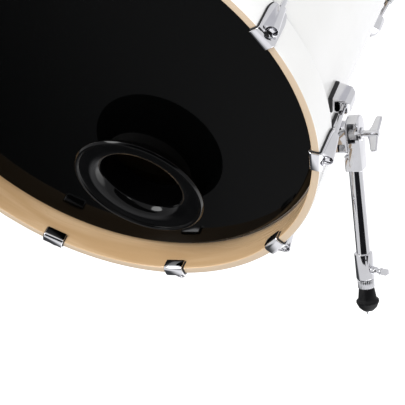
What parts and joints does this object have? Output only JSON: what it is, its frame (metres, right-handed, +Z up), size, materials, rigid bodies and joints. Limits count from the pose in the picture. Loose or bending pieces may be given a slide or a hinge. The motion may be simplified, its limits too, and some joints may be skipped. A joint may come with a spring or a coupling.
{
  "type": "bass drum",
  "caption": "Bass drum on its side with wooden hoops, claw hooks, tension rods, a flared port in the black front head and folding spurs with telescoping legs.",
  "frame": {"origin": "on the floor, under the middle of the whole object, with the hoops and the spike tips at z = 0", "axes": "+X to the right as seen from the front, across both spurs; +Y along the drum towards the playing head; +Z up"},
  "size_m": [0.7418, 0.5432, 0.594],
  "materials": {
    "white_lacquer": "white gloss lacquer over maple plies",
    "maple": "clear satin lacquer",
    "black_film": "smooth gloss film",
    "white_film": "fine coated film",
    "black_plastic": "gloss moulded",
    "chrome": "polished",
    "steel": "zinc plated, smooth",
    "black_rubber": "matt moulded"
  },
  "bodies": {
    "drum": {"shell": "white_lacquer", "front_head": "black_film", "port_insert": "black_plastic", "rear_head": "white_film", "front_hoop": "maple", "rear_hoop": "maple", "front_lug_1": "chrome", "front_claw_1": "chrome", "rear_tension_set_1": "chrome", "front_lug_2": "chrome", "front_claw_2": "chrome", "rear_tension_set_2": "chrome", "front_lug_3": "chrome", "front_claw_3": "chrome", "rear_tension_set_3": "chrome", "front_lug_4": "chrome", "front_claw_4": "chrome", "rear_tension_set_4": "chrome", "front_lug_5": "chrome", "front_claw_5": "chrome", "rear_tension_set_5": "chrome", "front_lug_6": "chrome", "front_claw_6": "chrome", "rear_tension_set_6": "chrome", "front_lug_7": "chrome", "front_claw_7": "chrome", "rear_tension_set_7": "chrome", "front_lug_8": "chrome", "front_claw_8": "chrome", "rear_tension_set_8": "chrome", "front_lug_9": "chrome", "front_claw_9": "chrome", "rear_tension_set_9": "chrome", "front_lug_10": "chrome", "front_claw_10": "chrome", "rear_tension_set_10": "chrome", "right_spur_bracket": "chrome", "left_spur_bracket": "chrome"},
    "front_tension_rod_1": {"front_rod_1": "steel"},
    "front_tension_rod_2": {"front_rod_2": "steel"},
    "front_tension_rod_3": {"front_rod_3": "steel"},
    "front_tension_rod_4": {"front_rod_4": "steel"},
    "front_tension_rod_5": {"front_rod_5": "steel"},
    "front_tension_rod_6": {"front_rod_6": "steel"},
    "front_tension_rod_7": {"front_rod_7": "steel"},
    "front_tension_rod_8": {"front_rod_8": "steel"},
    "front_tension_rod_9": {"front_rod_9": "steel"},
    "front_tension_rod_10": {"front_rod_10": "steel"},
    "right_leg": {"right_leg_holder": "chrome", "right_leg_tube": "chrome"},
    "right_wing_bolt_body": {"right_wing_bolt": "chrome"},
    "right_height_bolt_body": {"right_height_bolt": "chrome"},
    "right_inner_rod": {"right_leg_rod": "steel"},
    "right_foot": {"right_rubber_foot": "black_rubber"},
    "left_leg": {"left_leg_holder": "chrome", "left_leg_tube": "chrome"},
    "left_wing_bolt_body": {"left_wing_bolt": "chrome"},
    "left_height_bolt_body": {"left_height_bolt": "chrome"},
    "left_inner_rod": {"left_leg_rod": "steel"},
    "left_foot": {"left_rubber_foot": "black_rubber"}
  },
  "joints": [
    {"name": "front_rod_1_turn", "type": "hinge", "parent": "drum", "child": "front_tension_rod_1", "pos_m": [0.094, -0.25925, 0.00769], "axis": [-0.0268, 0.9962, 0.0825], "continuous": true},
    {"name": "front_rod_2_turn", "type": "hinge", "parent": "drum", "child": "front_tension_rod_2", "pos_m": [0.2461, -0.25925, 0.1182], "axis": [-0.0702, 0.9962, 0.051], "continuous": true},
    {"name": "front_rod_3_turn", "type": "hinge", "parent": "drum", "child": "front_tension_rod_3", "pos_m": [0.3042, -0.25925, 0.297], "axis": [-0.0867, 0.9962, 0], "continuous": true},
    {"name": "front_rod_4_turn", "type": "hinge", "parent": "drum", "child": "front_tension_rod_4", "pos_m": [0.2461, -0.25925, 0.4758], "axis": [-0.0702, 0.9962, -0.051], "continuous": true},
    {"name": "front_rod_5_turn", "type": "hinge", "parent": "drum", "child": "front_tension_rod_5", "pos_m": [0.094, -0.25925, 0.58631], "axis": [-0.0268, 0.9962, -0.0825], "continuous": true},
    {"name": "front_rod_6_turn", "type": "hinge", "parent": "drum", "child": "front_tension_rod_6", "pos_m": [-0.094, -0.25925, 0.58631], "axis": [0.0268, 0.9962, -0.0825], "continuous": true},
    {"name": "front_rod_7_turn", "type": "hinge", "parent": "drum", "child": "front_tension_rod_7", "pos_m": [-0.2461, -0.25925, 0.4758], "axis": [0.0702, 0.9962, -0.051], "continuous": true},
    {"name": "front_rod_8_turn", "type": "hinge", "parent": "drum", "child": "front_tension_rod_8", "pos_m": [-0.3042, -0.25925, 0.297], "axis": [0.0867, 0.9962, 0], "continuous": true},
    {"name": "front_rod_9_turn", "type": "hinge", "parent": "drum", "child": "front_tension_rod_9", "pos_m": [-0.2461, -0.25925, 0.1182], "axis": [0.0702, 0.9962, 0.051], "continuous": true},
    {"name": "front_rod_10_turn", "type": "hinge", "parent": "drum", "child": "front_tension_rod_10", "pos_m": [-0.094, -0.25925, 0.00769], "axis": [0.0268, 0.9962, 0.0825], "continuous": true},
    {"name": "right_leg_fold", "type": "hinge", "parent": "drum", "child": "right_leg", "pos_m": [0.2946, -0.12825, 0.2062], "axis": [0.9718, 0.1146, 0.2062], "range_deg": [0, 110]},
    {"name": "right_wing_bolt_turn", "type": "hinge", "parent": "drum", "child": "right_wing_bolt_body", "pos_m": [0.2946, -0.12825, 0.2062], "axis": [0.9718, 0.1146, 0.2062], "continuous": true},
    {"name": "right_leg_extend", "type": "slide", "parent": "right_leg", "child": "right_inner_rod", "axis": [0.2359, -0.4719, -0.8495], "range_m": [0, 0.1]},
    {"name": "right_height_bolt_turn", "type": "hinge", "parent": "right_leg", "child": "right_height_bolt_body", "pos_m": [0.33659, -0.21224, 0.05498], "axis": [0.901, -0.2213, 0.3731], "continuous": true},
    {"name": "right_foot_screw_down", "type": "slide", "parent": "right_inner_rod", "child": "right_foot", "axis": [0.2359, -0.4719, -0.8495], "range_m": [0, 0.008]},
    {"name": "left_leg_fold", "type": "hinge", "parent": "drum", "child": "left_leg", "pos_m": [-0.2946, -0.12825, 0.2062], "axis": [0.9718, -0.1146, -0.2062], "range_deg": [0, 110]},
    {"name": "left_wing_bolt_turn", "type": "hinge", "parent": "drum", "child": "left_wing_bolt_body", "pos_m": [-0.2946, -0.12825, 0.2062], "axis": [-0.9718, 0.1146, 0.2062], "continuous": true},
    {"name": "left_leg_extend", "type": "slide", "parent": "left_leg", "child": "left_inner_rod", "axis": [-0.2359, -0.4719, -0.8495], "range_m": [0, 0.1]},
    {"name": "left_height_bolt_turn", "type": "hinge", "parent": "left_leg", "child": "left_height_bolt_body", "pos_m": [-0.33659, -0.21224, 0.05498], "axis": [-0.901, -0.2213, 0.3731], "continuous": true},
    {"name": "left_foot_screw_down", "type": "slide", "parent": "left_inner_rod", "child": "left_foot", "axis": [-0.2359, -0.4719, -0.8495], "range_m": [0, 0.008]}
  ]
}
